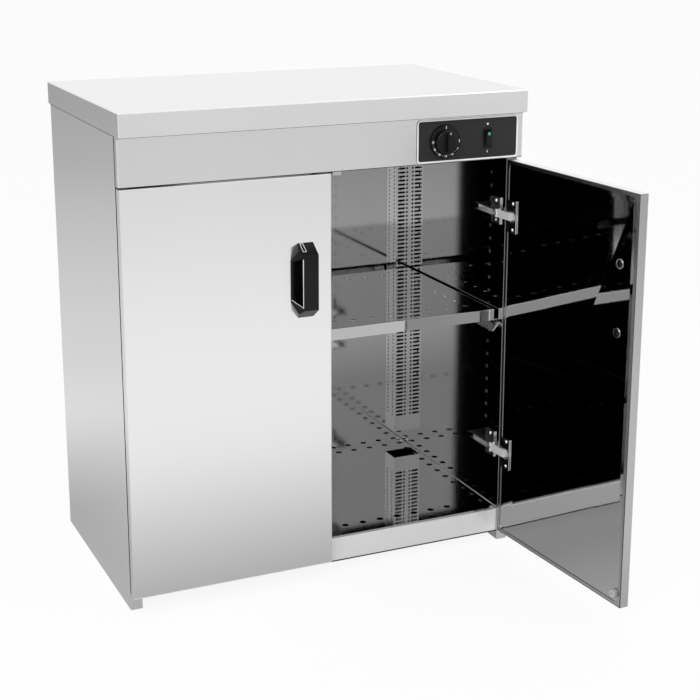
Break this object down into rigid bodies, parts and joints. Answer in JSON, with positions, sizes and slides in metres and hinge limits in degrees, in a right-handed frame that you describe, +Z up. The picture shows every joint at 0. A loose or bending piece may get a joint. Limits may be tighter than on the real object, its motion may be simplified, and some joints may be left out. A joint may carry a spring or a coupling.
{
  "type": "plate warmer cabinet",
  "caption": "Free-standing stainless steel plate warmer cabinet with hinged double doors, a lift-out shelf, rear hot-air risers, a thermostat knob and a rocker switch.",
  "frame": {"origin": "on the floor, under the centre of the worktop", "axes": "+X to the right-hand side, +Y to the back, +Z up; the doors are at the front, towards -Y"},
  "size_m": [0.7858, 0.8275, 0.87],
  "materials": {
    "satin_steel": "satin stainless steel sheet",
    "polished_steel": "mirror-polished stainless steel",
    "galvanised": "galvanised sheet",
    "board": "raw board",
    "mineral_wool": "matt fibre",
    "bright_zinc": "bright nickel and zinc plating",
    "control_panel": "satin anthracite print with a white border line",
    "black_gloss": "glossy black plastic",
    "knob_black": "fine-textured dark plastic",
    "component_plastic": "plain white plastic",
    "clear_rubber": "clear soft polyurethane",
    "sheath": "heat-darkened steel sheath",
    "ceramic": "unglazed ceramic",
    "copper": "drawn copper",
    "green_lens": "green indicator lens"
  },
  "bodies": {
    "cabinet": {"outer_casing": "satin_steel", "worktop": "satin_steel", "worktop_core": "board", "worktop_screws": "bright_zinc", "left_side_liner": "polished_steel", "right_side_liner": "polished_steel", "back_liner": "polished_steel", "ceiling_liner": "polished_steel", "side_insulation": "mineral_wool", "back_insulation": "mineral_wool", "ceiling_insulation": "mineral_wool", "floor_insulation": "mineral_wool", "kick_rail": "satin_steel", "floor_pan": "galvanised", "bottom_deck": "polished_steel", "deck_screws": "bright_zinc", "shelf_clips": "bright_zinc", "left_riser_cover": "polished_steel", "right_riser_cover": "polished_steel", "heating_element": "sheath", "element_brackets": "galvanised", "element_terminals": "ceramic", "fascia": "satin_steel", "control_plate": "control_panel", "thermostat_body": "component_plastic", "switch_housing": "knob_black", "sensor_bulb": "copper", "terminal_block": "component_plastic", "cable_gland": "black_gloss", "gland_nut": "black_gloss", "door_catches": "component_plastic", "hinge_arms": "bright_zinc", "hinge_pins": "bright_zinc", "hinge_plates": "bright_zinc", "hinge_plate_screws": "bright_zinc"},
    "left_door": {"left_door_skin": "satin_steel", "left_door_liner": "polished_steel", "left_door_core": "mineral_wool", "left_door_handle": "black_gloss", "left_handle_screws": "bright_zinc", "left_door_bumper": "clear_rubber", "left_hinge_cups": "bright_zinc", "left_cup_screws": "bright_zinc"},
    "right_door": {"right_door_skin": "satin_steel", "right_door_liner": "polished_steel", "right_door_core": "mineral_wool", "right_door_handle": "black_gloss", "right_handle_screws": "bright_zinc", "right_door_bumper": "clear_rubber", "right_hinge_cups": "bright_zinc", "right_cup_screws": "bright_zinc"},
    "left_links": {"left_hinge_links": "bright_zinc"},
    "right_links": {"right_hinge_links": "bright_zinc"},
    "shelf": {"upper_shelf": "polished_steel"},
    "knob": {"thermostat_shaft": "bright_zinc", "dial_skirt": "knob_black", "knob_grip": "knob_black"},
    "rocker": {"switch_rocker": "knob_black", "indicator_lens": "green_lens"}
  },
  "joints": [
    {"name": "left_door_hinge", "type": "hinge", "parent": "cabinet", "child": "left_door", "pos_m": [-0.366, -0.2285, 0], "axis": [0, 0, 1], "range_deg": [-94, 0]},
    {"name": "right_door_hinge", "type": "hinge", "parent": "cabinet", "child": "right_door", "pos_m": [0.366, -0.2285, 0], "axis": [0, 0, 1], "range_deg": [-94, 0]},
    {"name": "left_link_pins", "type": "hinge", "parent": "cabinet", "child": "left_links", "pos_m": [-0.3386, -0.1979, 0], "axis": [0, 0, 1], "range_deg": [-94, 0]},
    {"name": "right_link_pins", "type": "hinge", "parent": "cabinet", "child": "right_links", "pos_m": [0.3386, -0.1979, 0], "axis": [0, 0, 1], "range_deg": [-94, 0]},
    {"name": "shelf_lift", "type": "slide", "parent": "cabinet", "child": "shelf", "axis": [0, 0, 1], "range_m": [0, 0.02]},
    {"name": "knob_turn", "type": "hinge", "parent": "cabinet", "child": "knob", "pos_m": [0.2166, -0.2212, 0.7856], "axis": [0, 1, 0], "range_deg": [0, 270]},
    {"name": "rocker_tilt", "type": "hinge", "parent": "cabinet", "child": "rocker", "pos_m": [0.302, -0.2192, 0.787], "axis": [-1, 0, 0], "range_deg": [0, 14]}
  ],
  "couplings": [
    {"joint": "left_link_pins", "follows": "left_door_hinge", "ratio": 1},
    {"joint": "right_link_pins", "follows": "right_door_hinge", "ratio": 1}
  ]
}
